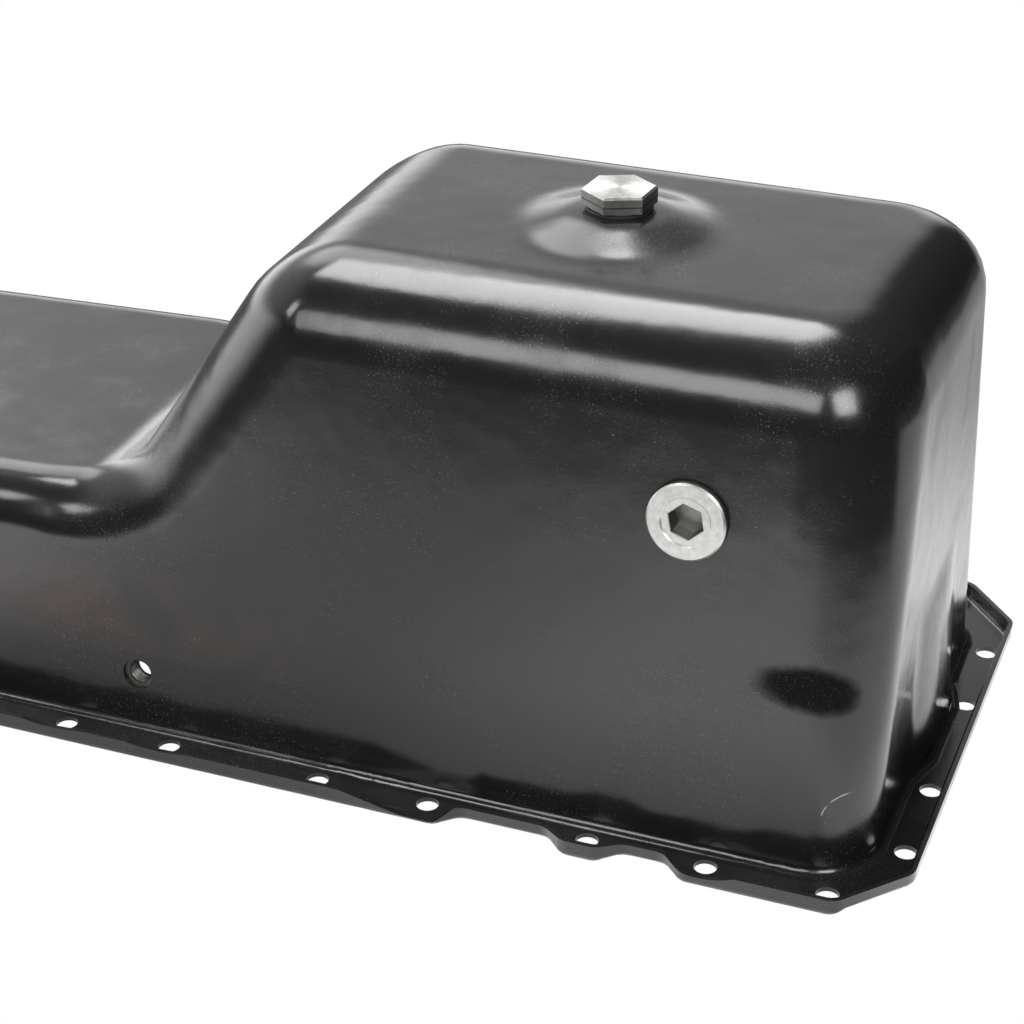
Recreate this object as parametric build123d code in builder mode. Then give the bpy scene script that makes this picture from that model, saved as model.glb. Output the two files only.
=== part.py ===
from build123d import *
import math
import os

# Pressed-steel engine oil pan with a rear sump, standing on its gasket face.
# X runs along the pan with the sump towards +X, Y across it, Z up.
# The origin is the middle of the pan's box, on the gasket plane.

# Sheet and flange
sheet = 2.0                    # thickness of the pressed sheet
pan_width = 256.0              # across the flange, between the bends of its lip
bore_pitch = 120.0             # spacing of the engine's cylinders
cylinder_count = 6
bolt_pair_spacing = 50.0       # the two flange bolts beside each cylinder
rear_bolt_spacing = 50.0       # from the last pair to the bolt at the rear corner
corner_bolt_margin = 30.5      # from a corner bolt to the end of the pan
rail_bolt_inset = 9.0          # bolt line from the bend of a long side
end_bolt_inset = 8.0           # bolt line from the bend of an end
end_bolt_inner = 35.0          # inner pair of end bolts, from the centre line
end_bolt_outer = 81.0          # outer pair of end bolts, from the centre line
bolt_hole_diameter = 9.4

# Turned-up lip
lip_height = 8.2
lip_splay = 20.0               # outward lean of the long sides' lip, degrees
lip_bend_radius = 2.0          # inside radius of the bend
corner_cut_along = 25.0        # flange corner, along X
corner_cut_across = 29.0       # flange corner, along Y
corner_round = 9.0             # rounding of the flange's corners and scallops
scallop_depth = 6.5
scallop_ramp = 10.0            # length of a scallop's sloping end
lobe_half_width = 7.0          # full-width flange each side of a bolt beside a scallop
lip_wave_depth = 1.4           # dip of the lip's edge beside a bolt of the shallow part
lip_wave_half_width = 15.0
lip_dip_depth = 3.4            # deeper dip beside the bolt behind the scallops
lip_gap_half_width = 7.0       # stretch beside the first sump bolt with no lip
lip_gap_long_end = 28.0        # the lip's slow run-out ahead of that bolt
lip_gap_short_end = 8.0        # its quick rise behind the bolt

# Body of the pan
side_wall_inset = 18.0         # foot of a long wall from the flange's outer face
end_wall_inset = 19.0          # foot of an end wall from the flange's outer face
side_draft = 5.5               # lean of the long walls, degrees
end_draft = 0.3                # lean of the end walls, degrees
corner_foot_radius = 28.0      # upright corners, at the gasket plane
corner_top_radius = 44.0       # upright corners, at the sump floor
sump_height = 219.5
shallow_height = 106.5         # at the foot of the ramp
shallow_drop = 2.0             # fall of the shallow floor towards the front end, degrees
sump_length = 286.0            # from the rear end to the ramp's upper corner
ramp_angle = 58.0              # slope of the ramp from the gasket plane, degrees
ramp_crest_radius = 62.0
ramp_foot_radius = 50.0
sump_edge_radius = 36.0        # rim of the sump and the ramp
shallow_edge_radius = 21.0     # rim of the shallow part
root_radius = 4.0              # from the flange into the walls

# Low swelling at the middle of the rear wall, deepest at its foot
bulge_foot_depth = 6.0
bulge_top_depth = 3.0
bulge_height = 71.0            # crest
bulge_top_rise = 11.0          # slope from the crest's top edge back to the wall
bulge_near_edge = -14.0        # crest's edge towards the near side, along Y
bulge_far_edge = 18.0          # crest's far edge at its top
bulge_far_foot = 30.0          # crest's far edge at its foot
bulge_flank = 20.0             # run of each flank back to the wall
bulge_round = 8.0

# Dome and drain plug on the sump floor
drain_from_rear = 162.0        # plug axis from the rear end
dome_height = 7.6
dome_base_radius = 46.0
dome_seat_radius = 21.0
drain_thread = 22.0
drain_pitch = 1.5
drain_hex = 27.0               # across the flats
drain_hex_turn = 24.5          # how the hexagon stands when tight, degrees
drain_head_height = 7.0
drain_collar_height = 0.8      # turned groove under the hexagon
drain_collar_diameter = 25.0
drain_washer_diameter = 28.0
drain_washer_thickness = 1.2
drain_shank_length = 16.0      # from under the head
drain_boss_diameter = 36.0
drain_boss_height = 10.0
drain_hollow_diameter = 10.0   # hollow end of the shank
drain_hollow_depth = 9.0

# Side plug
side_plug_from_rear = 100.0
side_plug_height = 144.6
side_thread = 26.0
side_pitch = 1.5
side_head_diameter = 32.0
side_head_height = 2.4
side_socket = 13.0             # across the flats
side_socket_turn = 12.0        # how the socket stands when tight, degrees
side_socket_depth = 9.0
side_dish_diameter = 20.0      # shallow dish turned round the socket
side_dish_depth = 0.6
side_shank_length = 15.0       # from under the head
side_boss_diameter = 42.0
side_boss_height = 10.0
seal_width = 2.6               # section of the rubber ring under the head
seal_height = 1.4

# Threaded bung in the near wall
bung_from_rear = 340.0
bung_height = 27.0
bung_thread = 12.0
bung_pitch = 1.75
bung_diameter = 20.0
bung_length = 9.0

# Fits
thread_clearance = 0.3         # shank to bore, on the radius
hole_clearance = 1.0           # hole in the sheet round a thread, on the radius
edge_chamfer = 0.8             # turned edges of the plugs and bosses
edge_tolerance = 0.001         # for telling which edges lie on a plane

# Worked out from the sizes above
half_width = pan_width / 2
pair_span = bore_pitch * (cylinder_count - 1) + bolt_pair_spacing
pan_length = 2 * corner_bolt_margin + rear_bolt_spacing + pair_span
rear = pan_length / 2
front = -rear
corner_bolt = rear - corner_bolt_margin
pair_starts = [corner_bolt - rear_bolt_spacing - bore_pitch * n for n in range(cylinder_count)]
rail_bolts = [corner_bolt] + [x for start in pair_starts for x in (start, start - bolt_pair_spacing)]
rail_bolt_y = half_width - rail_bolt_inset
end_bolts = [-end_bolt_outer, -end_bolt_inner, end_bolt_inner, end_bolt_outer]
end_bolt_x = rear - end_bolt_inset
side_lean = math.tan(math.radians(side_draft))
end_lean = math.tan(math.radians(end_draft))
ramp_slope = math.tan(math.radians(ramp_angle))
ramp_top = rear - sump_length
ramp_foot = ramp_top - (sump_height - shallow_height) / ramp_slope
shallow_fall = math.tan(math.radians(shallow_drop))
rim_floor = shallow_height - shallow_fall * pan_length - shallow_edge_radius / 2
rear_wall = rear - end_wall_inset
drain_x = rear - drain_from_rear
drain_seat = sump_height + dome_height
drain_hex_base = drain_seat + drain_washer_thickness + drain_collar_height
side_plug_y = -half_width + side_wall_inset + side_lean * side_plug_height
bung_y = -half_width + side_wall_inset + side_lean * bung_height
wall_thickness = sheet * math.cos(math.radians(side_draft))
out_of_wall = (0, -math.cos(math.radians(side_draft)), math.sin(math.radians(side_draft)))
side_plug_plane = Plane(
    origin=(rear - side_plug_from_rear, side_plug_y, side_plug_height), x_dir=(1, 0, 0), z_dir=out_of_wall
)
bung_plane = Plane(origin=(rear - bung_from_rear, bung_y, bung_height), x_dir=(1, 0, 0), z_dir=out_of_wall)


def flange_outline(inset, spread):
    """Outer line of the flange, its long sides moved outwards by spread, and all of it inwards by inset."""
    lobes = rail_bolts[3], rail_bolts[2], rail_bolts[1]
    side = -half_width - spread
    near = [(front + corner_cut_along, side)]
    for ahead, behind in zip(lobes, lobes[1:]):
        start = ahead + lobe_half_width
        stop = behind - lobe_half_width
        near.append((start, side))
        near.append((start + scallop_ramp, side + scallop_depth))
        near.append((stop - scallop_ramp, side + scallop_depth))
        near.append((stop, side))
    near.append((rear - corner_cut_along, side))
    near.append((rear, side + corner_cut_across))
    far = [(x, -y) for x, y in reversed(near)]
    ends = [(front, -side - corner_cut_across), (front, side + corner_cut_across)]
    with BuildSketch() as outline:
        Polygon(*near, *far, *ends, align=None)
        fillet(outline.vertices(), corner_round)
        if inset:
            offset(amount=-inset, mode=Mode.REPLACE)
    return outline.sketch


def splayed_form(inset, floor, top):
    """Solid inside the lip, or inside its outer face for no inset: ends upright, long sides leaning out."""
    lean = math.radians(lip_splay)
    slant_gain = inset / math.cos(lean) - inset
    with BuildPart() as form:
        for level in (floor, top):
            with BuildSketch(Plane.XY.offset(level)):
                add(flange_outline(inset, level * math.tan(lean) - slant_gain))
        loft(ruled=True)
        fillet(form.edges().group_by(Axis.Z)[0], lip_bend_radius + sheet - inset)
    return form.part


def flange_tray():
    """Flat flange, without its opening, and the turned-up lip round it."""
    with BuildPart() as tray:
        add(splayed_form(0, 0, lip_height))
        add(splayed_form(sheet, sheet, sheet + lip_height), mode=Mode.SUBTRACT)
        with BuildSketch(Plane.XZ):
            for bolt in rail_bolts[5:]:
                add(lip_dip(bolt, lip_wave_depth))
            add(lip_dip(rail_bolts[1], lip_dip_depth))
            gap = rail_bolts[3]
            Polygon(
                (gap - lip_gap_half_width - lip_gap_long_end, lip_height),
                (gap - lip_gap_half_width, sheet),
                (gap + lip_gap_half_width, sheet),
                (gap + lip_gap_half_width + lip_gap_short_end, lip_height),
                (gap, 2 * lip_height),
                align=None,
            )
        extrude(amount=pan_width, both=True, mode=Mode.SUBTRACT)
    return tray.part


def lip_dip(place, depth):
    """Side view of what a shallow dip takes off the lip beside a bolt."""
    radius = (lip_wave_half_width**2 + depth**2) / (2 * depth)
    with BuildSketch() as dip:
        with Locations((place, lip_height - depth + radius)):
            Circle(radius)
    return dip.sketch


def crosses_the_pan(edge):
    """True for an edge of the ramp or the flat tops that runs from side to side."""
    inside = abs(edge.center().X) < rear_wall - corner_top_radius
    return inside and abs(edge.tangent_at(0.5).Y) > 0.99


def stands_upright(edge):
    """True for an edge of the corners' lofted faces."""
    return abs(edge.tangent_at(0.5).Z) > 0.95 and edge.length > corner_foot_radius


def side_profile(inset, crest):
    """Side view of the body under the tops: a falling shallow floor and, with crest, the ramp and the sump."""
    front_height = shallow_height - shallow_fall * (ramp_foot - front)
    with BuildSketch() as profile:
        if crest:
            Polygon(
                (front, -sump_height),
                (2 * rear, -sump_height),
                (2 * rear, sump_height),
                (ramp_top, sump_height),
                (ramp_foot, shallow_height),
                (front, front_height),
                align=None,
            )
            fillet(profile.vertices().sort_by_distance((ramp_top, sump_height))[0], ramp_crest_radius)
            fillet(profile.vertices().sort_by_distance((ramp_foot, shallow_height))[0], ramp_foot_radius)
        else:
            rear_height = shallow_height + shallow_fall * (rear - ramp_foot)
            Polygon(
                (2 * front, -sump_height),
                (rear, -sump_height),
                (rear, rear_height),
                (2 * front, shallow_height - shallow_fall * (ramp_foot - 2 * front)),
                align=None,
            )
        if inset:
            offset(amount=-inset, mode=Mode.REPLACE)
    return profile.sketch


def walled_form(inset, crest, rim_radius):
    """Body between the four leaning walls and under a side profile, with its rim rounded."""
    foot_length = pan_length - 2 * (end_wall_inset + inset)
    foot_width = pan_width - 2 * (side_wall_inset + inset)
    if crest:
        kept = Keep.TOP
        cut = ramp_foot - ramp_foot_radius
    else:
        kept = Keep.BOTTOM
        cut = ramp_top + ramp_crest_radius
    with BuildPart() as form:
        with BuildSketch():
            RectangleRounded(foot_length, foot_width, corner_foot_radius - inset)
        with BuildSketch(Plane.XY.offset(sump_height)):
            RectangleRounded(
                foot_length - 2 * end_lean * sump_height,
                foot_width - 2 * side_lean * sump_height,
                corner_top_radius - inset,
            )
        loft(ruled=True)
        with BuildSketch(Plane.XZ):
            add(side_profile(inset, crest))
        extrude(amount=half_width, both=True, mode=Mode.INTERSECT)
        split(bisect_by=Plane.YZ.offset(cut), keep=kept)
        crown = form.edges().filter_by(lambda e: e.center().Z > rim_floor)
        rim = [e for e in crown if not crosses_the_pan(e) and not stands_upright(e)]
        fillet(rim, rim_radius - inset)
    return form.part


def body_form(inset):
    """Closed body from the gasket plane to the sump floor, moved inwards by inset."""
    with BuildPart() as form:
        add(walled_form(inset, False, shallow_edge_radius))
        add(walled_form(inset, True, sump_edge_radius))
    return form.part


def bulge_form(inset):
    """Low swelling of the rear wall, with its root inside the body."""
    root = rear_wall - end_lean * sump_height - sheet - inset
    below = bulge_height / 2
    crest_lean = (bulge_foot_depth - bulge_top_depth) / bulge_height
    top_buried = rear_wall - root + bulge_top_depth - inset
    foot_buried = rear_wall - root + bulge_foot_depth - inset
    side_spread = bulge_flank * foot_buried / bulge_foot_depth
    top_spread = bulge_top_rise * top_buried / bulge_top_depth
    crest_plane = Plane(
        origin=(rear_wall + bulge_foot_depth - inset, 0, 0), x_dir=(0, 1, 0), z_dir=(1, 0, crest_lean)
    )
    far_lean = (bulge_far_foot - bulge_far_edge) / bulge_height
    with BuildPart() as form:
        with BuildSketch(Plane.YZ.offset(root)):
            Polygon(
                (bulge_near_edge - side_spread, -below),
                (bulge_far_foot + side_spread + far_lean * below, -below),
                (bulge_far_edge + side_spread, bulge_height + top_spread),
                (bulge_near_edge - side_spread, bulge_height + top_spread),
                align=None,
            )
        with BuildSketch(crest_plane):
            Polygon(
                (bulge_near_edge, -below),
                (bulge_far_foot + far_lean * below, -below),
                (bulge_far_edge, bulge_height),
                (bulge_near_edge, bulge_height),
                align=None,
            )
        loft(ruled=True)
        fillet(form.faces().sort_by(Axis.X)[-1].edges(), bulge_round - inset)
        split(bisect_by=Plane.XY, keep=Keep.TOP)
    return form.part


def dome_form(inset):
    """Raised seat of the drain plug, with its root inside the body."""
    foot = sump_height - inset
    seat = drain_seat - inset
    with BuildPart() as form:
        with BuildSketch(Plane.XZ.offset(0)):
            with BuildLine():
                rise = Spline(
                    (dome_base_radius - inset, foot),
                    (dome_seat_radius - inset, seat),
                    tangents=[(-1, 0.1), (-1, 0)],
                )
                Polyline(rise @ 1, (0, seat), (0, foot - sheet), (dome_base_radius - inset, foot - sheet), rise @ 0)
            make_face()
        revolve(axis=Axis.Z)
    return form.part.moved(Location((drain_x, 0, 0)))


def is_root(edge):
    """True for an edge where the body meets the top of the flange."""
    level = all(abs((edge @ t).Z - sheet) < edge_tolerance for t in (0, 0.5, 1))
    place = edge.center()
    beside = abs(place.Y) < half_width - side_wall_inset + edge_tolerance
    between = abs(place.X) < rear_wall + bulge_foot_depth + edge_tolerance
    return level and beside and between


def is_mouth(edge):
    """True for an edge of the opening in the gasket face."""
    level = all(abs((edge @ t).Z) < edge_tolerance for t in (0, 0.5, 1))
    place = edge.center()
    beside = abs(place.Y) < half_width - side_wall_inset
    return level and beside and abs(place.X) < rear_wall + bulge_foot_depth


# The pressing: flange, lip, body, bulge and dome drawn from one sheet
with BuildPart() as pan_pressing:
    add(flange_tray())
    add(body_form(0))
    add(bulge_form(0))
    add(dome_form(0))
    fillet(pan_pressing.edges().filter_by(is_root), root_radius)
    add(body_form(sheet), mode=Mode.SUBTRACT)
    add(bulge_form(sheet), mode=Mode.SUBTRACT)
    add(dome_form(sheet), mode=Mode.SUBTRACT)
    fillet(pan_pressing.edges().filter_by(is_mouth), root_radius + sheet)
    with BuildSketch():
        with Locations(*[(x, y) for x in rail_bolts for y in (-rail_bolt_y, rail_bolt_y)]):
            Circle(bolt_hole_diameter / 2)
        with Locations(*[(x, y) for x in (-end_bolt_x, end_bolt_x) for y in end_bolts]):
            Circle(bolt_hole_diameter / 2)
    extrude(amount=sheet, mode=Mode.SUBTRACT)
    with BuildSketch(Plane((drain_x, 0, drain_seat))):
        Circle(drain_thread / 2 + hole_clearance)
    extrude(amount=-2 * sheet, mode=Mode.SUBTRACT)
    with BuildSketch(side_plug_plane):
        Circle(side_thread / 2 + hole_clearance)
    extrude(amount=-2 * sheet, mode=Mode.SUBTRACT)
    with BuildSketch(bung_plane):
        Circle(bung_thread / 2 + hole_clearance)
    extrude(amount=-2 * sheet, mode=Mode.SUBTRACT)
pan_pressing.part.label = "pan_pressing"

# Threaded boss welded under the dome
with BuildPart() as drain_boss:
    with BuildSketch(Plane((drain_x, 0, drain_seat - sheet))):
        Circle(drain_boss_diameter / 2)
        Circle(drain_thread / 2 + thread_clearance, mode=Mode.SUBTRACT)
    extrude(amount=-drain_boss_height)
    chamfer(drain_boss.edges().group_by(Axis.Z)[0], edge_chamfer)
drain_boss.part.label = "drain_boss"

# Sealing washer of the drain plug
with BuildPart() as drain_plug_washer:
    with BuildSketch(Plane((drain_x, 0, drain_seat))):
        Circle(drain_washer_diameter / 2)
        Circle(drain_thread / 2 + thread_clearance, mode=Mode.SUBTRACT)
    extrude(amount=drain_washer_thickness)
drain_plug_washer.part.label = "drain_plug_washer"

# Drain plug: hexagon, turned groove and hollow-ended shank
with BuildPart() as drain_plug:
    with BuildSketch(Plane((drain_x, 0, drain_hex_base))):
        RegularPolygon(drain_hex / 2, 6, major_radius=False, rotation=drain_hex_turn)
    extrude(amount=drain_head_height)
    chamfer(drain_plug.edges().group_by(Axis.Z)[-1], edge_chamfer)
    with BuildSketch(Plane((drain_x, 0, drain_hex_base))):
        Circle(drain_collar_diameter / 2)
    extrude(amount=-drain_collar_height)
    with BuildSketch(Plane((drain_x, 0, drain_hex_base - drain_collar_height))):
        Circle(drain_thread / 2)
    extrude(amount=-drain_shank_length)
    chamfer(drain_plug.edges().group_by(Axis.Z)[0], drain_pitch)
    with BuildSketch(Plane((drain_x, 0, drain_hex_base - drain_collar_height - drain_shank_length))):
        Circle(drain_hollow_diameter / 2)
    extrude(amount=drain_hollow_depth, mode=Mode.SUBTRACT)
drain_plug.part.label = "drain_plug"

# Threaded boss welded inside the near wall
with BuildPart() as side_boss:
    with BuildSketch(side_plug_plane.offset(-wall_thickness)):
        Circle(side_boss_diameter / 2)
        Circle(side_thread / 2 + thread_clearance, mode=Mode.SUBTRACT)
    extrude(amount=-side_boss_height)
    chamfer(side_boss.faces().sort_by(Axis.Y)[-1].edges(), edge_chamfer)
side_boss.part.label = "side_boss"

# Rubber ring squeezed under the side plug's head
with BuildPart() as side_plug_ring:
    with BuildSketch(side_plug_plane):
        Circle(side_head_diameter / 2)
        Circle(side_head_diameter / 2 - seal_width, mode=Mode.SUBTRACT)
    extrude(amount=seal_height)
    fillet(side_plug_ring.edges(), seal_height / 4)
side_plug_ring.part.label = "side_plug_ring"

# Side plug: thin round head with a hexagon socket
with BuildPart() as side_plug:
    with BuildSketch(side_plug_plane.offset(seal_height)):
        Circle(side_head_diameter / 2)
    extrude(amount=side_head_height)
    chamfer(side_plug.faces().sort_by(Axis.Y)[0].edges(), edge_chamfer)
    with BuildSketch(side_plug_plane.offset(seal_height)):
        Circle(side_thread / 2)
    extrude(amount=-side_shank_length)
    chamfer(side_plug.faces().sort_by(Axis.Y)[-1].edges(), side_pitch)
    with BuildSketch(side_plug_plane.offset(seal_height + side_head_height)):
        Circle(side_dish_diameter / 2)
    extrude(amount=-side_dish_depth, mode=Mode.SUBTRACT)
    with BuildSketch(side_plug_plane.offset(seal_height + side_head_height)):
        RegularPolygon(side_socket / 2, 6, major_radius=False, rotation=side_socket_turn)
    extrude(amount=-side_socket_depth, mode=Mode.SUBTRACT)
side_plug.part.label = "side_plug"

# Threaded bung welded inside the near wall
with BuildPart() as rail_bung:
    with BuildSketch(bung_plane.offset(-wall_thickness)):
        Circle(bung_diameter / 2)
        Circle((bung_thread - bung_pitch) / 2, mode=Mode.SUBTRACT)
    extrude(amount=-bung_length)
    chamfer(rail_bung.faces().sort_by(Axis.Y)[-1].edges(), edge_chamfer)
rail_bung.part.label = "rail_bung"

os.makedirs("parts", exist_ok=True)
export_step(pan_pressing.part, "parts/pan_pressing.step")
export_step(drain_boss.part, "parts/drain_boss.step")
export_step(drain_plug_washer.part, "parts/drain_plug_washer.step")
export_step(drain_plug.part, "parts/drain_plug.step")
export_step(side_boss.part, "parts/side_boss.step")
export_step(side_plug_ring.part, "parts/side_plug_ring.step")
export_step(side_plug.part, "parts/side_plug.step")
export_step(rail_bung.part, "parts/rail_bung.step")
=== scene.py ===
import bpy
import math
import numpy as np
from mathutils import Matrix, Vector


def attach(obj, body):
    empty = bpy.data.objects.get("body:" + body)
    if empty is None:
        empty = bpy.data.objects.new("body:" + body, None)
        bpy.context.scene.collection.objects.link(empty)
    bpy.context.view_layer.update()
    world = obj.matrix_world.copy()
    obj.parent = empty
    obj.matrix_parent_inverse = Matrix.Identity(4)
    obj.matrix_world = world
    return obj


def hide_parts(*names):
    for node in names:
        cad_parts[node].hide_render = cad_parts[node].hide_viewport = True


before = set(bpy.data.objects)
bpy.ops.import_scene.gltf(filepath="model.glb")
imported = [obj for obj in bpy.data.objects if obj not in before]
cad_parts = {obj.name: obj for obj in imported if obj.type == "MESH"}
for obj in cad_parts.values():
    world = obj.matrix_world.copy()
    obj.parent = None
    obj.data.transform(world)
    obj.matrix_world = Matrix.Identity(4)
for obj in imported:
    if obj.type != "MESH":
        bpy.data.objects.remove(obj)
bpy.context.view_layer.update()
print("frame loaded")


class Value:
    # A shader socket that takes plain arithmetic.

    def __init__(self, tree, socket):
        self.tree = tree
        self.socket = socket

    def maths(self, operation, *others):
        return self.tree.node("Math", {"operation": operation}, 0, self, *others)

    def __add__(self, other):
        return self.maths("ADD", other)

    def __sub__(self, other):
        return self.maths("SUBTRACT", other)

    def __mul__(self, other):
        return self.maths("MULTIPLY", other)

    def __rsub__(self, other):
        return self.tree.node("Math", {"operation": "SUBTRACT"}, 0, other, self)

    __radd__ = __add__
    __rmul__ = __mul__

    def part(self, index):
        # One axis of a vector: 0 is X, 1 is Y, 2 is Z.
        return self.tree.node("SeparateXYZ", None, index, self)

    def between(self, low, high):
        # 0 at low, 1 at high, eased at both ends and held outside.
        return self.tree.node("MapRange", {"interpolation_type": "SMOOTHSTEP"}, 0, self, low, high, 0.0, 1.0)


class Tree:
    # The node tree of a material or of the world, written as calls.

    def __init__(self, owner, kind="Material"):
        owner.use_nodes = True
        self.owner = owner
        self.kind = kind
        self.links = owner.node_tree.links
        self.nodes = owner.node_tree.nodes
        self.nodes.clear()

    def feed(self, slot, item):
        if isinstance(item, Value):
            self.links.new(item.socket, slot)
        elif item is not None:
            slot.default_value = item

    def node(self, kind, settings=None, output=0, *items, **named):
        # Settings come first, since they change the sockets; items fill the sockets in order.
        made = self.nodes.new("ShaderNode" + kind)
        for key, item in (settings or {}).items():
            setattr(made, key, item)
        for slot, item in zip(made.inputs, items):
            self.feed(slot, item)
        for key, item in named.items():
            self.feed(made.inputs[key.replace("_", " ")], item)
        return Value(self, made.outputs[output])

    def place(self):
        # Object coordinates in metres.
        return self.node("TexCoord", None, 3)

    def noise(self, where, scale, detail, rough):
        return self.node("TexNoise", None, 0, Vector=where, Scale=scale, Detail=detail, Roughness=rough)

    def blend(self, amount, low, high):
        # Colours mixed by an amount from 0 to 1.
        made = self.nodes.new("ShaderNodeMix")
        made.data_type = "RGBA"
        for slot, item in zip((made.inputs[0], made.inputs[6], made.inputs[7]), (amount, low, high)):
            self.feed(slot, item)
        return Value(self, made.outputs[2])

    def bump(self, height, distance):
        return self.node("Bump", None, 0, Strength=1.0, Distance=distance, Height=height)

    def facing(self, axis):
        # Cosine between the surface's normal and a direction.
        normal = self.node("NewGeometry", None, 1)
        return self.node("VectorMath", {"operation": "DOT_PRODUCT"}, 1, normal, tuple(axis))

    def finish(self, shader):
        last = self.nodes.new("ShaderNodeOutput" + self.kind)
        self.feed(last.inputs["Surface"], shader)
        return self.owner


def gridFaces(rows, columns, closed=False):
    # Quads of a grid of vertices, row by row; a closed grid joins its last column to its first.
    wide = columns if closed else columns - 1
    row, column = np.meshgrid(np.arange(rows - 1), np.arange(wide), indexing="ij")
    low = row * columns + column
    side = row * columns + (column + 1) % columns
    return np.stack([low, side, side + columns, low + columns], -1).reshape(-1, 4)


def makePiece(name, rider, replaced, sheets, material, sharp=None):
    # Joins sheets of (vertices, faces, normals per vertex or corner).
    # With an angle, the mesh is smoothed and edges sharper than it stay crisp, instead of the given normals.
    counts = np.cumsum([0] + [sheet[0].size // 3 for sheet in sheets])
    places = np.concatenate([sheet[0].reshape(-1, 3) for sheet in sheets]).astype(np.float32)
    faces = np.concatenate([sheet[1] + start for sheet, start in zip(sheets, counts)]).astype(np.int32)
    if not sharp:
        normals = np.concatenate([sheet[2].reshape(-1, 3) for sheet in sheets])
        normals = normals if len(normals) == faces.size else normals[faces.ravel()]
    used, corners = np.unique(faces, return_inverse=True)  # a vertex that no face uses is left out
    places, faces = places[used], corners.reshape(faces.shape).astype(np.int32)
    mesh = bpy.data.meshes.new(name)
    mesh.vertices.add(len(places))
    mesh.vertices.foreach_set("co", places.ravel())
    mesh.loops.add(faces.size)
    mesh.loops.foreach_set("vertex_index", faces.ravel())
    mesh.polygons.add(len(faces))
    mesh.polygons.foreach_set("loop_start", np.arange(0, faces.size, faces.shape[1], dtype=np.int32))
    mesh.update(calc_edges=True)
    mesh.shade_smooth()
    if sharp:
        mesh.set_sharp_from_angle(angle=sharp)
    else:
        mesh.normals_split_custom_set(normals)
    mesh.materials.append(material)
    piece = bpy.data.objects.new(name, mesh)
    bpy.context.scene.collection.objects.link(piece)
    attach(piece, rider)
    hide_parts(replaced)
    return piece


# Lengths are in metres and angles in radians; Z runs from the gasket face towards the drain plug.
pan = {
    "halfLength": 0.3615,
    "halfWidth": 0.110,
    "endLean": math.radians(0.3),
    "sideLean": math.radians(5.5),
    "cornerAtRoot": 0.028,  # radius of the upright corners at the flange
    "cornerAtFloor": 0.044,
    "foot": (0.02389, 0.1065),  # where the shallow floor's line meets the ramp's, X and Z
    "shallowSlope": math.radians(2),
    "rampSlope": math.radians(57.2),
    "floor": 0.2195,
    "footReach": 0.0150,  # run of the soft foot square to each plane
    "browReach": 0.0250,  # the same at the ramp's top
    "shallowRim": 0.021,
    "sumpRim": 0.036,
    "rimChange": (-0.020, 0.055),  # X over which one rim radius becomes the other
    "farRimLoss": 0.0065,  # the sump's far rim is that much tighter
    "farRimFrom": (0.08, 0.12),  # X and then Y over which it tightens
    "farRimAcross": (-0.02, 0.05),
    "sheet": 0.002,
    "rootTop": 0.0054,  # top of the fillet between flange and wall
    "spineEnd": 0.300,  # the paths over the top meet in a line along X that ends here
    "wallSteps": ((0.40, 0.013), (1.0, 0.033)),  # stretches up the wall, end and step as shares of it
    "rimRows": 12,
    "topRows": 23,
    "patchRows": 5,  # rows between a hole and the block of faces taken out for it
    "holeSides": 64,
}
dome = {"x": 0.2185, "height": 0.0076, "base": 0.042, "seat": 0.018, "soft": 0.0018}  # base, seat: radii
bulge = {
    "face": 0.35835,  # X that the panel rises from
    "depth": 0.009149,  # rise at the flange
    "fade": 0.003,  # the rise is that much less at the panel's shoulder
    "height": 0.071,  # Z of the shoulder
    "rise": 0.0225,  # height of the slope above it
    "topDepth": 0.006149,
    "nearFoot": -0.0445,  # near flank: Y where it starts, and its run
    "nearRun": 0.0305,
    "farRoot": (0.0615, 0.1395),  # far flank's root: Y at the flange, and its shift per height
    "farEdge": (0.030, 0.012),  # its top edge: Y at the flange, and the shift up to the shoulder
    "soft": 0.0026,
}


def roundMax(a, b, radius):
    # Overlap of two half spaces with a round edge.
    inside = np.minimum(np.maximum(a, b) + radius, 0)
    return inside + np.hypot(np.maximum(a + radius, 0), np.maximum(b + radius, 0)) - radius


def roundMin(a, b, radius):
    # Union of two half spaces with a round corner.
    return -roundMax(-a, -b, radius)


def softMin(a, b, soft):
    # The lesser value, eased where the two differ by less than soft.
    return np.minimum(a, b) - np.maximum(soft - np.abs(a - b), 0) ** 2 / (4 * soft)


def ease(value, low, high):
    # 0 below low, 1 above high, three squares less two cubes between.
    t = np.clip((value - low) / (high - low), 0, 1)
    return t * t * (3 - 2 * t)


def rearPanel(y, z):
    # How far the raised panel of the rear wall stands out along X.
    crest = bulge["depth"] - bulge["fade"] * z / bulge["height"]
    near = crest * (y - bulge["nearFoot"]) / bulge["nearRun"]
    root = bulge["farRoot"][0] - bulge["farRoot"][1] * z
    edge = bulge["farEdge"][0] - bulge["farEdge"][1] * z / bulge["height"]
    far = crest * (root - y) / (root - edge)
    top = bulge["topDepth"] * (bulge["height"] + bulge["rise"] - z) / bulge["rise"]
    raised = softMin(softMin(crest, near, bulge["soft"]), softMin(far, top, bulge["soft"]), bulge["soft"])
    return bulge["face"] + raised


def domeRise(x, y):
    # A cone with a flat seat, soft at its seat and at its base.
    across = np.hypot(x - dome["x"], y)
    cone = dome["height"] * (dome["base"] - across) / (dome["base"] - dome["seat"])
    return -softMin(-softMin(np.full_like(cone, dome["height"]), cone, dome["soft"]), 0 * cone, dome["soft"])


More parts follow.
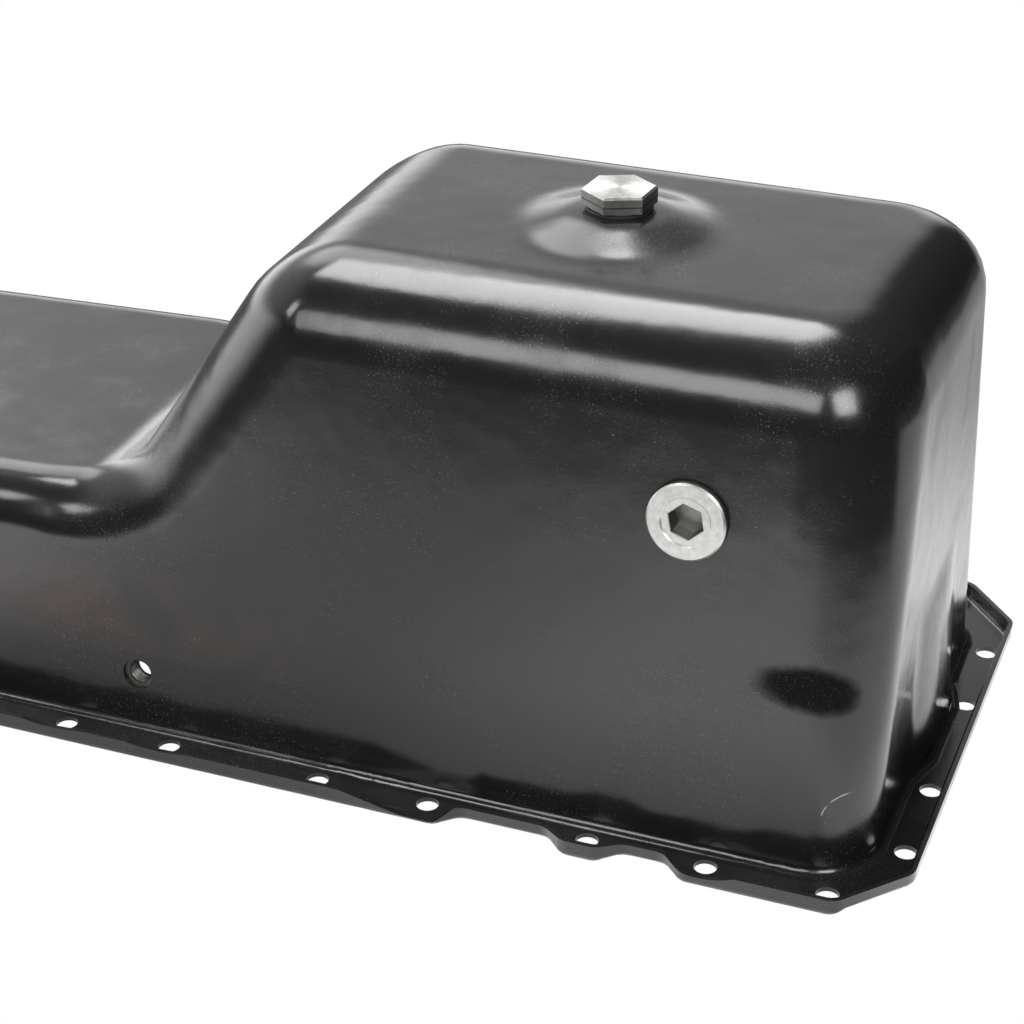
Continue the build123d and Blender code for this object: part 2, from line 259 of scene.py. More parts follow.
def panDistance(point):
    # Distance outside the pressing's outer skin, negative inside.
    x, y, z = point[..., 0], point[..., 1], point[..., 2]
    side = (np.abs(y) - pan["halfWidth"] + z * math.tan(pan["sideLean"])) * math.cos(pan["sideLean"])
    wallX = pan["halfLength"] - z * math.tan(pan["endLean"])
    rear = softMin(x - wallX, x - rearPanel(y, z), bulge["soft"] / 2)
    end = np.where(x > 0, rear, -x - wallX)
    corner = pan["cornerAtRoot"] + (pan["cornerAtFloor"] - pan["cornerAtRoot"]) * z / pan["floor"]
    walls = roundMax(side, end, corner)
    shallow, ramp = ((z - pan["foot"][1]) * math.cos(slope) - (x - pan["foot"][0]) * math.sin(slope)
                     for slope in (pan["shallowSlope"], pan["rampSlope"]))
    sump = roundMax(ramp, z - pan["floor"] - domeRise(x, y), pan["browReach"])
    top = roundMin(shallow, sump, pan["footReach"])
    rim = pan["shallowRim"] + (pan["sumpRim"] - pan["shallowRim"]) * ease(x, *pan["rimChange"])
    tighter = pan["farRimLoss"] * ease(x, *pan["farRimFrom"])
    return roundMax(walls, top, rim - tighter * ease(y, *pan["farRimAcross"]))


newtonSteps = 9


def panNormal(point):
    # Central differences of the distance.
    reach = 2e-5
    steps = np.eye(3) * reach
    slopes = [panDistance(point + step) - panDistance(point - step) for step in steps]
    return np.stack(slopes, -1) / (2 * reach)


def ontoPan(point, depth):
    # Newton steps towards the skin that lies depth below the outer one: each takes away the error times
    # the slope, over the slope squared.
    for _ in range(newtonSteps):
        slope = panNormal(point)
        error = panDistance(point) + depth
        point = point - slope * (error / np.maximum((slope ** 2).sum(-1), 1e-6))[..., None]
    normal = panNormal(point)
    return point, normal / np.linalg.norm(normal, axis=-1, keepdims=True)


def spaced(*knots):
    # Places along a line: each pair is (end of stretch, step) after the first place.
    places = [np.array([knots[0]])]
    for end, step in knots[1:]:
        start = places[-1][-1]
        count = max(1, round(abs(end - start) / step))
        places.append(np.linspace(start, end, count + 1)[1:])
    return np.concatenate(places)


def panStations():
    # Root points round the walls, each with the point of the spine that its path over the top ends at.
    radius = pan["cornerAtRoot"]
    straightX = pan["halfLength"] - radius
    straightY = pan["halfWidth"] - radius
    along = spaced(-straightX, (-0.02, 0.007), (0.11, 0.003), (0.165, 0.005), (0.27, 0.0028),
                   (straightX, 0.006))
    turn = np.linspace(0, math.pi / 2, 15)[1:-1]
    rearEnd = spaced(-straightY, (-0.055, 0.005), (0.070, 0.0022), (straightY, 0.004))
    frontEnd = spaced(straightY, (-straightY, 0.006))
    one = np.ones_like
    loops = [
        (along, -pan["halfWidth"] * one(along)),
        (straightX + radius * np.sin(turn), -straightY - radius * np.cos(turn)),
        (pan["halfLength"] * one(rearEnd), rearEnd),
        (straightX + radius * np.cos(turn), straightY + radius * np.sin(turn)),
        (along[::-1], pan["halfWidth"] * one(along)),
        (-straightX - radius * np.sin(turn), straightY + radius * np.cos(turn)),
        (-pan["halfLength"] * one(frontEnd), frontEnd),
        (-straightX - radius * np.cos(turn), -straightY - radius * np.sin(turn)),
    ]
    root = np.concatenate([np.stack(loop, -1) for loop in loops])
    spine = np.stack([np.clip(root[:, 0], -pan["spineEnd"], pan["spineEnd"]), 0 * root[:, 0]], -1)
    return root, spine


def panPaths(root, spine):
    # Up the wall, over the rim and across the top to the spine; rows by stations.
    lineZ = [pan["foot"][1] + (root[:, 0] - pan["foot"][0]) * math.tan(slope)
             for slope in (pan["shallowSlope"], pan["rampSlope"])]
    height = np.minimum(np.maximum(*lineZ), pan["floor"])
    rim = pan["shallowRim"] + (pan["sumpRim"] - pan["shallowRim"]) * ease(root[:, 0], *pan["rimChange"])
    inward = spine - root
    run = np.linalg.norm(inward, axis=1)
    inward = inward / run[:, None]
    wallTop = height - rim
    low = spaced(0.0, *pan["wallSteps"])[:, None]
    climb = pan["rootTop"] + (wallTop - pan["rootTop"]) * low
    lean = climb * math.tan(pan["sideLean"]) * 0.9  # a first guess, which ontoPan corrects
    arc = np.linspace(0, math.pi / 2, pan["rimRows"] + 1)[1:, None]
    rimIn = lean[-1] + rim * (1 - np.cos(arc))
    rimUp = wallTop + rim * np.sin(arc)
    flat = np.linspace(0, 1, pan["topRows"] + 1)[1:, None]
    flatIn = rimIn[-1] + (run - rimIn[-1]) * flat
    flatUp = np.repeat(rimUp[-1:], len(flat), 0)
    inside = np.concatenate([lean, rimIn, flatIn])
    up = np.concatenate([climb, rimUp, flatUp])
    plan = root[None] + inward[None] * inside[..., None]
    return np.concatenate([plan, up[..., None]], -1)


upAxis = np.array([0.0, 0.0, 1.0])
sideAxis = np.array([0.0, -math.cos(pan["sideLean"]), math.sin(pan["sideLean"])])  # out of the near wall


def onNearWall(x, z):
    # The point of the near wall's outer face over X and Z.
    return np.array([x, -pan["halfWidth"] + z * math.tan(pan["sideLean"]), z])


def holeRing(hole, points, quads):
    # Takes the faces of a block round a hole away and returns them with the loop of points that they leave.
    middle = points[quads].mean(1) - hole["centre"]
    inBlock = np.linalg.norm(middle, axis=1) < hole["block"]
    gone = quads[inBlock]
    edges = np.concatenate([gone[:, [k, (k + 1) % 4]] for k in range(4)])
    edges = edges[edges[:, 0] != edges[:, 1]]  # quads that end in a point at the spine
    follow = {}
    pairs = set(map(tuple, edges.tolist()))
    for start, end in pairs:
        if (end, start) not in pairs:
            follow[start] = end
    loop = [next(iter(follow))]
    while follow[loop[-1]] != loop[0]:
        loop.append(follow[loop[-1]])
    return quads[~inBlock], np.array(loop)


def holeSheet(hole, edge, depth):
    # Skin between the block's edge and the round hole, on the skin at the given depth.
    around = edge - hole["centre"]
    around = around - np.outer(around @ hole["axis"], hole["axis"])
    circle = hole["centre"] + around / np.linalg.norm(around, axis=1, keepdims=True) * hole["radius"]
    share = np.linspace(0, 1, pan["patchRows"] + 1)[:, None, None]
    points, normals = ontoPan(edge * (1 - share) + circle * share, depth)
    points[0] = edge
    return points, normals


def welded(points, quads):
    # One vertex for all that share a place, so that loops round the holes close at the spine.
    keys = np.round(points * 1e6).astype(np.int64)
    _, first, same = np.unique(keys, axis=0, return_index=True, return_inverse=True)
    return first, same.reshape(-1)[quads]


def makePanBody():
    # Outer skin, inner skin with every second row and turned faces, and the walls of the holes.
    holes = [
        {"centre": onNearWall(sidePlug["x"], sidePlug["z"]), "axis": sideAxis, **sidePlug["hole"]},
        {"centre": onNearWall(bung["x"], bung["z"]), "axis": sideAxis, **bung["hole"]},
        {"centre": np.array([dome["x"], 0, pan["floor"] + dome["height"]]), "axis": upAxis, **drain["hole"]},
    ]
    paths = panPaths(*panStations())
    sheets = []
    for depth, thin, way in ((0.0, 1, 1), (pan["sheet"], 2, -1)):
        rows = paths[::thin]
        points, normals = ontoPan(rows.reshape(-1, 3), depth)
        first, quads = welded(points, gridFaces(rows.shape[0], rows.shape[1], closed=True))
        points, normals = points[first], normals[first]
        for hole in holes:
            quads, loop = holeRing(hole, points, quads)
            skin, directions = holeSheet(hole, points[loop], depth)
            patch = gridFaces(skin.shape[0], skin.shape[1], closed=True)
            sheets.append((skin, patch[:, ::way], directions * way))
        sheets.append((points, quads[:, ::way], normals * way))
    sides = pan["holeSides"]
    turn = np.arange(sides)[:, None] * 2 * math.pi / sides
    for hole in holes:
        across = np.cross(hole["axis"], [1.0, 0.0, 0.0])
        spoke = np.cos(turn) * [1.0, 0.0, 0.0] + np.sin(turn) * across
        down = np.array([0.0, -pan["sheet"]])[:, None, None]
        wall = hole["centre"] + spoke * hole["radius"] + down * hole["axis"]
        sheets.append((wall, gridFaces(2, sides, closed=True), -np.stack([spoke, spoke])))
    return makePiece("panBody", "pan", "pan_pressing", sheets, paint)


flange = {
    "top": 0.009,  # just above the lip
    "lipTop": 0.0082,
    "lipFoot": (0.1240, 0.1275),  # Y over which the shift grows
    "lipShift": 0.0026,
    "lipReach": 0.1309,  # the shifted lip stays inside this Y
}


def makeFlange():
    # The bolted flange with its lip, holes and root fillets: the CAD mesh below the plain walls.
    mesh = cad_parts["pan_pressing"].data.copy()
    mesh.calc_loop_triangles()
    places = np.empty((len(mesh.vertices), 3), np.float32)
    mesh.vertices.foreach_get("co", places.ravel())
    normals = np.empty((len(mesh.loops), 3), np.float32)
    mesh.corner_normals.foreach_get("vector", normals.ravel())
    corners = np.empty((len(mesh.loop_triangles), 3), np.int32)
    mesh.loop_triangles.foreach_get("vertices", corners.ravel())
    loops = np.empty((len(mesh.loop_triangles), 3), np.int32)
    mesh.loop_triangles.foreach_get("loops", loops.ravel())
    low = (places[corners][..., 2] < flange["top"]).all(1)
    first, faces = welded(places, corners[low])
    whole = (faces != np.roll(faces, 1, axis=1)).all(1)
    # The long sides' lip stands steeper than in CAD: its foot moves out, its top stays.
    y, z = places[:, 1], places[:, 2]
    share = ease(np.abs(y), *flange["lipFoot"]) * np.clip(1 - z / flange["lipTop"], 0, 1)
    room = np.maximum(flange["lipReach"] - np.abs(y), 0)
    places[:, 1] = y + np.sign(y) * np.minimum(flange["lipShift"] * share, room)
    return makePiece("panFlange", "pan", "pan_pressing",
                     [(places[first], faces[whole], normals[loops[low][whole]])], paint)


turnedSides = 96  # columns of every turned piece
angles = np.arange(turnedSides) * 2 * math.pi / turnedSides


def ring(radius, height):
    # One row of a turned piece.
    return np.stack([radius * np.cos(angles), radius * np.sin(angles), height + 0 * angles], -1)


def hexagon(flats):
    # Radius of a hexagon that has a corner at angle 0.
    return flats / 2 / np.cos(np.mod(angles, math.pi / 3) - math.pi / 6)


def threadRows(radius, depth, pitch, start, end):
    # Rows of a helical groove, ten to a pitch: a triangle wave, cut off near its crests and its roots.
    # The groove fades out at both ends.
    heights = np.linspace(start, end, 10 * round(abs(end - start) / pitch))
    fade = np.minimum(np.abs(heights - start), np.abs(heights - end)) / pitch
    phase = np.mod(heights[:, None] / pitch - angles[None] / (2 * math.pi), 1)
    groove = np.clip(1.15 * (1 - np.abs(2 * phase - 1)), 0.05, 1) * np.clip(fade, 0, 1)[:, None]
    return [ring(radius - depth * cut, height) for cut, height in zip(groove, heights)]


def turned(rows, origin, axis, turn):
    # Rows of a turned piece set on an axis; the rows run so that the faces look outwards.
    second = "X" if abs(axis[2]) < 0.9 else "Y"
    spin = Vector(axis).to_track_quat("Z", second).to_matrix() @ Matrix.Rotation(turn, 3, "Z")
    points = np.stack(rows) @ np.array(spin).T + np.array(origin)
    return points, gridFaces(len(rows), turnedSides, closed=True), None


def shankRows(plug):
    # A threaded shank from its chamfered end up to the plane that its head starts at.
    start = plug["pitch"] - plug["shank"]
    rows = [ring(plug["thread"] - plug["pitch"], -plug["shank"])]
    rows += [ring(plug["thread"] - plug["leadIn"], start)]
    rows += threadRows(plug["thread"], plug["groove"], plug["pitch"], start, -plug["relief"])
    return rows + [ring(plug["thread"], 0.0)]


crisp = math.radians(28)  # edges sharper than this stay crisp
drain = {
    "seat": 0.2271,  # the dome's flat
    "hole": {"radius": 0.012, "block": 0.018},
    "collar": 0.0008,
    "collarRadius": 0.0125,
    "flats": 0.027,
    "head": 0.007,
    "chamfer": 0.0008,
    "crown": 0.6,  # a row inside the top face, as a share of its radius
    "turn": math.radians(24.5),
    "thread": 0.011,
    "pitch": 0.0015,
    "groove": 0.0008,
    "leadIn": 0.0001,
    "relief": 0.0005,  # plain length under the head
    "shank": 0.016,
    "hollow": 0.005,
    "hollowDepth": 0.009,
    "shaded": (-0.002, -0.001),  # heights over which painted shade deepens, downwards
    "paintedSheen": (0.40, 1.2),  # strength and phase of the painted highlight on the brushed top
    "line": 0.0036,  # height of the painted groove shade, a dark line round the flanks
}


def makeDrainPlug():
    # Heights run from the washer's top; the shank is below.
    d = drain
    base = d["collar"]
    top = base + d["head"]
    hexFull, hexTop = hexagon(d["flats"]), hexagon(d["flats"] - 2 * d["chamfer"])
    roof = d["hollowDepth"] - d["shank"]
    rows = [ring(0.0, roof), ring(d["hollow"], roof), ring(d["hollow"], -d["shank"])]
    rows += shankRows(d)
    rows += [ring(d["collarRadius"], 0.0), ring(d["collarRadius"], base), ring(hexFull, base)]
    rows += [ring(hexFull, top - d["chamfer"]), ring(hexTop, top)]
    rows += [ring(hexTop * d["crown"], top), ring(0.0, top)]
    origin = (dome["x"], 0, d["seat"] + drainWasher["height"])
    return makePiece("drainPlug", "drain_screw", "drain_plug",
                     [turned(rows, origin, upAxis, d["turn"])], zinc(d, origin, upAxis), crisp)


drainWasher = {"radius": 0.014, "height": 0.0012, "bore": 0.0113, "edge": 0.00025}


def makeDrainWasher():
    # A flat ring with broken outer edges, closed at its bore.
    outer, high, bore, edge = (drainWasher[key] for key in ("radius", "height", "bore", "edge"))
    rows = [ring(bore, 0), ring(outer - edge, 0), ring(outer, edge), ring(outer, high - edge),
            ring(outer - edge, high), ring(bore, high), ring(bore, 0)]
    return makePiece("drainWasher", "drain_washer", "drain_plug_washer",
                     [turned(rows, (dome["x"], 0, drain["seat"]), upAxis, 0)], rubber, crisp)


sidePlug = {
    "x": 0.2805,
    "z": 0.1446,
    "hole": {"radius": 0.014, "block": 0.021},
    "radius": 0.016,
    "head": 0.0024,
    "chamfer": 0.0008,
    "edge": 0.0003,
    "dish": 0.010,
    "dishDepth": 0.0006,
    "flats": 0.013,
    "socketDepth": 0.009,
    "turn": math.radians(12),
    "thread": 0.013,
    "pitch": 0.0015,
    "groove": 0.0008,
    "leadIn": 0.0001,
    "relief": 0.0005,
    "shank": 0.015,
    "shaded": (0.0, 0.0012),
    "paintedSheen": (0.0, 0.0),
    "line": 0.0003,
}


def makeSidePlug():
    # Heights run from the ring's outer face; the shank is below.
    d = sidePlug
    face, edge = d["head"], d["edge"]
    dish, floor = face - d["dishDepth"], face - d["socketDepth"]
    hexWall = hexagon(d["flats"])
    rows = [ring(0.0, -d["shank"])] + shankRows(d)
    rows += [ring(d["radius"] - edge, 0.0), ring(d["radius"], edge), ring(d["radius"], face - d["chamfer"])]
    rows += [ring(d["radius"] - d["chamfer"], face), ring(d["dish"] + edge, face)]
    rows += [ring(d["dish"] - edge, dish), ring(hexWall + edge, dish), ring(hexWall, dish - edge)]
    rows += [ring(hexWall, floor), ring(hexWall / 2, floor), ring(0.0, floor)]
    origin = onNearWall(d["x"], d["z"]) + sideAxis * sideRing["height"]
    return makePiece("sidePlug", "side_screw", "side_plug",
                     [turned(rows, origin, sideAxis, d["turn"])], zinc(d, origin, sideAxis), crisp)


sideRing = {
    "height": 0.0014,
    "width": 0.0026,
    "steps": 24,
    "squareness": (0.5, 0.6),  # powers across and along the axis; 1 is round
    "crisp": math.radians(50),
}


def makeSideRing():
    # A squeezed ring: a round section made squarer by powers of its cosine and sine.
    d = sideRing
    turn = np.linspace(0, 2 * math.pi, d["steps"] + 1)
    cosine, sine = np.cos(turn), np.sin(turn)
    out = np.sign(cosine) * np.abs(cosine) ** d["squareness"][0] * d["width"] / 2
    up = np.sign(sine) * np.abs(sine) ** d["squareness"][1] * d["height"] / 2
    middle = sidePlug["radius"] - d["width"] / 2
    rows = [ring(middle + across, d["height"] / 2 + rise) for across, rise in zip(out, up)]
    origin = onNearWall(sidePlug["x"], sidePlug["z"])
    return makePiece("sideRing", "side_ring", "side_plug_ring",
                     [turned(rows, origin, sideAxis, 0)], rubber, d["crisp"])


bung = {
    "x": 0.0405,
    "z": 0.027,
    "hole": {"radius": 0.007, "block": 0.012},
    "radius": 0.010,
    "length": 0.009,
    "edge": 0.0006,
    "bore": 0.005125,
    "mouth": 0.0008,  # the bore's start is wider by this
    "groove": 0.0009,
    "pitch": 0.00175,
}
drainBoss = {
    "radius": 0.018,
    "length": 0.010,
    "edge": 0.0008,
    "bore": 0.0113,
    "mouth": 0,
    "groove": 0.0006,
    "pitch": 0.0015,
}
sideBoss = {**drainBoss, "radius": 0.021, "bore": 0.0133}
threadStart = 0.0003  # depth of the groove's first row in a bore


def makeBoss(name, node, boss, onSheet, axis):
    # A turned boss against the sheet's inner face, with a thread in its bore; heights run from that face.
    radius, length, bore, edge = (boss[key] for key in ("radius", "length", "bore", "edge"))
    rows = [ring(bore, -length), ring(radius - edge, -length), ring(radius, edge - length)]
    rows += [ring(radius, 0.0), ring(bore + boss["mouth"], 0.0)]
    rows += threadRows(bore, -boss["groove"], boss["pitch"], -threadStart, -length)
    origin = onSheet - axis * pan["sheet"]
    return makePiece(name, "pan", node, [turned(rows, origin, axis, 0)], bareSteel, crisp)


# Marks on the near wall, as X and Z on it.
mark = {
    "oval": (0.3364, 0.0825),
    "ovalReach": (0.0275, 0.0115),
    "wallY": -0.102,  # the wall's Y at the oval; what lies past it is round the corner
    "droop": 0.4,  # the oval sinks by this share of the way round the corner
    "scratch": (0.3525, 0.0268),
    "scratchRadius": 0.0104,
}
enamel = {
    "fresh": (0.0075, 0.0075, 0.0080, 1),
    "filmed": (0.030, 0.030, 0.032, 1),
    "rust": (0.030, 0.014, 0.012, 1),
    "darkMatte": (0.004, 0.004, 0.004, 1),
    "bareMetal": (0.34, 0.33, 0.31, 1),
    "dust": (0.35, 0.34, 0.32, 1),
}


def blackPaint():
    # Gloss enamel over pressed sheet: faint orange peel, wiped patches and settled dust.
    t = Tree(bpy.data.materials.new("blackPaint"))
    where = t.place()
    x, y, z = where.part(0), where.part(1), where.part(2)
    patches = t.noise(where, 22.0, 5.0, 0.62)
    fine = t.noise(where, 160.0, 3.0, 0.6)
    dust = t.noise(where, 2600.0, 1.0, 0.5).between(0.70, 0.76) * patches.between(0.42, 0.62)
    film = t.facing(upAxis).between(0.55, 0.98) * (0.35 + patches * 0.9)
    outward = t.facing(-np.eye(3)[1])
    near = outward.between(0.5, 0.8)
    # A rusty tint low on the wall, on both sides of the bung.
    rust = near * z.between(0.03, 0.05) * (1 - z.between(0.06, 0.085)) * x.between(-0.12, -0.02)
    rust = rust * (1 - x.between(0.09, 0.14)) * patches.between(0.36, 0.62)
    # A dark matte oval that bends round the corner.
    past = y - mark["wallY"]
    oval = (x - mark["oval"][0] + past) * (1 / mark["ovalReach"][0])
    rise = (z - mark["oval"][1] + past * mark["droop"]) * (1 / mark["ovalReach"][1])
    darkOval = outward.between(0.1, 0.4) * (1 - (oval * oval + rise * rise + fine * 0.5).between(0.6, 1.4))
    # A scratch along a quarter of a circle.
    sweepX, sweepZ = x - mark["scratch"][0], z - mark["scratch"][1]
    off = t.node("Math", {"operation": "SQRT"}, 0, sweepX * sweepX + sweepZ * sweepZ) - mark["scratchRadius"]
    scratch = near * (1 - (off * off).between(1.5e-8, 1.1e-7)) * (1 - sweepX.between(-0.002, 0.0005))
    scratch = scratch * sweepZ.between(0.001, 0.003) * fine.between(0.38, 0.5)
    colour = t.blend(film * 0.3, enamel["fresh"], enamel["filmed"])
    colour = t.blend(rust * 0.55, colour, enamel["rust"])
    colour = t.blend(darkOval, colour, enamel["darkMatte"])
    colour = t.blend(scratch * 0.8, colour, enamel["bareMetal"])
    colour = t.blend(dust * 0.5, colour, enamel["dust"])
    rough = 0.15 + patches.between(0.45, 0.75) * 0.10 + fine * 0.05 + dust * 0.3 + darkOval * 0.3
    ripple = t.noise(where, 30.0, 2.0, 0.5) * 0.8 + t.noise(where, 700.0, 1.0, 0.5) * 0.03
    gloss = t.node("BsdfPrincipled", None, 0, Base_Color=colour, Roughness=rough, IOR=1.5,
                   Normal=t.bump(ripple, 0.0006))
    darkMatte = t.node("BsdfPrincipled", None, 0, Base_Color=colour, Roughness=0.8, Specular_IOR_Level=0.02)
    return t.finish(t.node("MixShader", None, 0, darkOval * 0.95, gloss, darkMatte))


plating = {
    "low": (0.22, 0.22, 0.21, 1),
    "high": (0.80, 0.80, 0.77, 1),
    "flank": (0.12, 0.12, 0.11, 1),
    "line": (0.02, 0.02, 0.02, 1),
    "shade": (0.10, 0.10, 0.09, 1),
}


def zinc(plug, origin, axis):
    # Plated steel, turned: fine lines round the axis and a soft mottle of the plating, with painted light: a
    # painted highlight round the axis, and painted shade on the flanks, in a line round them and down in
    # recesses.
    t = Tree(bpy.data.materials.new("zincPlate"))
    where = t.node("VectorMath", {"operation": "SUBTRACT"}, 0, t.place(), tuple(origin))
    height = t.node("VectorMath", {"operation": "DOT_PRODUCT"}, 1, where, tuple(axis))
    across = t.node("VectorMath", {"operation": "LENGTH"}, 1, where)
    lines = t.noise(t.node("CombineXYZ", None, 0, across, 0.0, height * 2.5), 5200.0, 2.0, 0.6)
    mottle = t.noise(where, 420.0, 4.0, 0.65)
    # Painted shade: the side faces are darker than the top.
    flank = 1 - t.facing(axis).between(0.2, 0.6)
    # Painted shade in recesses: darker below the given heights, in the socket and on the shank under the
    # head.
    recessShade = 1 - height.between(*plug["shaded"])
    # Painted highlight standing in for the sheen of a top brushed round the middle: the sine of twice the
    # turn.
    turn = t.node("Math", {"operation": "ARCTAN2"}, 0, where.part(1), where.part(0))
    strength, phase = plug["paintedSheen"]
    paintedSheen = t.node("Math", {"operation": "SINE"}, 0, turn * 2 + phase) * strength
    # Tone of the plating: random mottle plus the painted highlight.
    light = mottle.between(0.3, 0.75) * 0.25 + 0.5 + paintedSheen
    offLine = (height - plug["line"]) * (height - plug["line"])
    colour = t.blend(light, plating["low"], plating["high"])
    colour = t.blend(flank * 0.6, colour, plating["flank"])
    # Painted shade of a groove: a dark line round the flanks.
    colour = t.blend(flank * (1 - offLine.between(2e-8, 1.2e-7)) * 0.8, colour, plating["line"])
    colour = t.blend(recessShade * (0.45 + mottle * 0.5), colour, plating["shade"])
    rough = 0.26 + mottle * 0.16 + lines * 0.05
    return t.finish(t.node("BsdfPrincipled", None, 0, Base_Color=colour, Roughness=rough, Metallic=1.0,
                           Normal=t.bump(lines, 0.00006)))


def sealRubber():
    # Matt black rubber with a fine grain.
    t = Tree(bpy.data.materials.new("sealRubber"))
    grain = t.noise(t.place(), 1800.0, 2.0, 0.6)
    return t.finish(t.node("BsdfPrincipled", None, 0, Base_Color=(0.012, 0.012, 0.012, 1),
                           Roughness=0.42 + grain * 0.2, Normal=t.bump(grain, 0.00003)))


def turnedSteel():
    # Dark bare steel, mottled by oil.
    t = Tree(bpy.data.materials.new("bareSteel"))
    mottle = t.noise(t.place(), 300.0, 4.0, 0.6)
    colour = t.blend(mottle, (0.05, 0.048, 0.045, 1), (0.13, 0.125, 0.12, 1))
    rough = 0.3 + mottle * 0.2
    return t.finish(t.node("BsdfPrincipled", None, 0, Base_Color=colour, Roughness=rough, Metallic=1.0))


paint = blackPaint()
rubber = sealRubber()
bareSteel = turnedSteel()
print("materials made")

makePanBody()
makeFlange()
print("pan made")
makeDrainWasher()
makeDrainPlug()
makeSideRing()
makeSidePlug()
makeBoss("railBung", "rail_bung", bung, onNearWall(bung["x"], bung["z"]), sideAxis)
makeBoss("drainBoss", "drain_boss", drainBoss, np.array([dome["x"], 0, drain["seat"]]), upAxis)
makeBoss("sideBoss", "side_boss", sideBoss, onNearWall(sidePlug["x"], sidePlug["z"]), sideAxis)
print("plugs and bosses made")

cameraView = {
    "place": (0.51184, -0.8895, 0.59972),
    "azimuth": math.radians(20.91),
    "elevation": math.radians(28.75),
    "focal": 86.82,  # mm on a 36 mm sensor
}


def makeCamera(view):
    # Back, right and up axes from the azimuth and the elevation.
    a, e = view["azimuth"], view["elevation"]
    back = Vector((math.sin(a) * math.cos(e), -math.cos(a) * math.cos(e), math.sin(e)))
    right = Vector((math.cos(a), math.sin(a), 0))
    up = back.cross(right)
    data = bpy.data.cameras.new("camera")
    data.lens = view["focal"]
    data.sensor_width = 36.0
    data.clip_end = 50.0
    camera = bpy.data.objects.new("camera", data)
    camera.matrix_world = Matrix.Translation(view["place"]) @ Matrix((right, up, back)).transposed().to_4x4()
    bpy.context.scene.collection.objects.link(camera)
    bpy.context.scene.camera = camera


# Radiance of a lamp is its power over four times its area.
lights = [
    {"name": "overheadSoftbox", "place": (-0.20, 0.28, 1.6), "size": (1.15, 0.62), "radiance": 10.0},
    {"name": "frontSoftbox", "place": (0.01, -1.56, 1.07), "size": (1.34, 0.62), "radiance": 6.0},
    {"name": "cornerSoftbox", "place": (1.36, -1.30, 1.12), "size": (0.66, 0.80), "radiance": 10.0},
    {"name": "lowEndSoftbox", "place": (-1.05, -1.03, 1.28), "size": (0.4, 0.4), "radiance": 7.0},
]


def makeLight(light):
    # A rectangular lamp that looks at the sump.
    data = bpy.data.lights.new(light["name"], "AREA")
    data.shape = "RECTANGLE"
    data.size, data.size_y = light["size"]
    data.energy = light["radiance"] * 4 * data.size * data.size_y
    lamp = bpy.data.objects.new(light["name"], data)
    lamp.location = light["place"]
    aim = Vector((0.1, 0, 0.15)) - Vector(light["place"])
    lamp.rotation_euler = aim.to_track_quat("-Z", "Y").to_euler()
    bpy.context.scene.collection.objects.link(lamp)


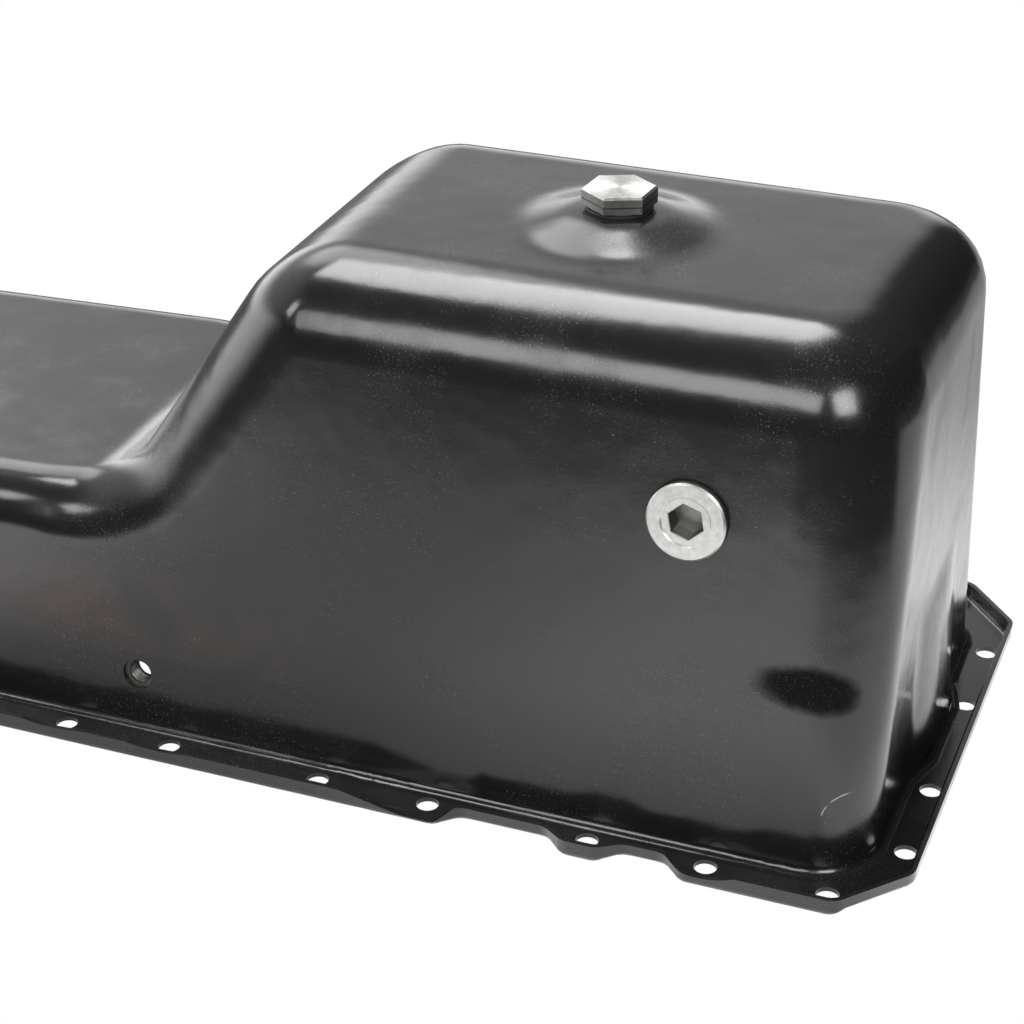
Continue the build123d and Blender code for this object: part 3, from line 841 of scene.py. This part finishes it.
def floorMaterial():
    # White to the camera, pale to light, and to glossy surfaces a painted reflection: bright behind the pan
    # and dim in front.
    t = Tree(bpy.data.materials.new("paleFloor"))
    seen = t.node("LightPath", None, 0)
    glossy = t.node("LightPath", None, 3)
    where = t.place()
    x, y = where.part(0), where.part(1)
    away = y * -1
    # In front: brighter beside the sump and at the low end, a painted shadow next to the rail, and dark far
    # out.
    front = 1.15 + 0.95 * x.between(0.06, 0.24) + 1.2 * (1 - x.between(-0.16, -0.02))
    front = front * (1 - away.between(0.45, 0.72)) * (0.5 + 0.5 * away.between(0.13, 0.27)) + 0.08
    # Behind and beside: a painted pool of light, bright close to the pan and dimmer beyond it.
    rear = 1.95 - 0.5 * y.between(-0.12, 0.02) - 0.8 * y.between(0.12, 0.4)
    rear = rear * (0.30 + 0.70 * x.between(0.28, 0.37))
    beside = x.between(0.36, 0.39)
    glow = front + (rear - front) * t.node("Math", {"operation": "MAXIMUM"}, 0, y.between(-0.1, 0.1), beside)
    # Past the rear end only a rounded patch next to the pan glows.
    out = (x - 0.36) * 1.45
    far = (out * out + (y + 0.11) * (y + 0.11)).between(0.15, 0.26) * x.between(0.20, 0.32)
    glow = glow * (1 - 0.96 * far * (1 - y.between(0.0, 0.07))) * (1 - x.between(0.8, 1.0) * 0.8)
    glow = glow * (1 - 0.2 * x.between(0.42, 0.47) * (1 - y.between(0.20, 0.28)))
    lit = t.node("BsdfDiffuse", None, 0, Color=(0.8, 0.8, 0.8, 1))
    mirrored = t.node("Emission", None, 0, Color=glow, Strength=1.0)
    white = t.node("Emission", None, 0, Color=(1, 1, 1, 1), Strength=1.0)
    inMirror = t.node("MixShader", None, 0, glossy, lit, mirrored)
    return t.finish(t.node("MixShader", None, 0, seen, inMirror, white))


def makeFloor():
    # A square far wider than the view.
    half = 6.0
    corners = [(-half, -half, 0), (half, -half, 0), (half, half, 0), (-half, half, 0)]
    mesh = bpy.data.meshes.new("floor")
    mesh.from_pydata(corners, [], [(0, 1, 2, 3)])
    floor = bpy.data.objects.new("floor", mesh)
    floor.location.z = -0.0002  # just under the gasket face
    mesh.materials.append(floorMaterial())
    bpy.context.scene.collection.objects.link(floor)


def makeWorld():
    # A dark room in front, a pale sweep behind, and plain white to the camera.
    t = Tree(bpy.data.worlds.new("studio"), "World")
    way = t.node("TexCoord", None, 0)
    x, y, z = way.part(0), way.part(1), way.part(2)
    # The pale part reaches from behind round to the low end, and is brightest near the ground.
    low = 1 - z.between(0.10, 0.34)
    back = y.between(-0.15, 0.35)
    reach = back + (1 - back) * (1 - x.between(-0.9, -0.4)) * y.between(-0.6, -0.1)
    behind = reach * (0.85 + (1.0 + 1.6 * (1 - x.between(-0.75, -0.45))) * low)
    behind = behind * (1 - z.between(0.68, 0.92)) * (1 - x.between(-0.10, 0.12))
    # A round bright window above it.
    aside, beyond = x + 0.50, y - 0.49
    window = (1 - (aside * aside + beyond * beyond).between(0.018, 0.070)) * z.between(0.3, 0.5)
    behind = behind + 4.0 * window
    seen = t.node("LightPath", None, 0)
    light = (0.03 + behind) * (1 - seen) + seen
    bpy.context.scene.world = t.finish(t.node("Background", None, 0, Color=light, Strength=1.0))


makeCamera(cameraView)
for light in lights:
    makeLight(light)
makeFloor()
makeWorld()
bpy.context.scene.view_settings.view_transform = "Standard"
print("camera, floor and lights placed")
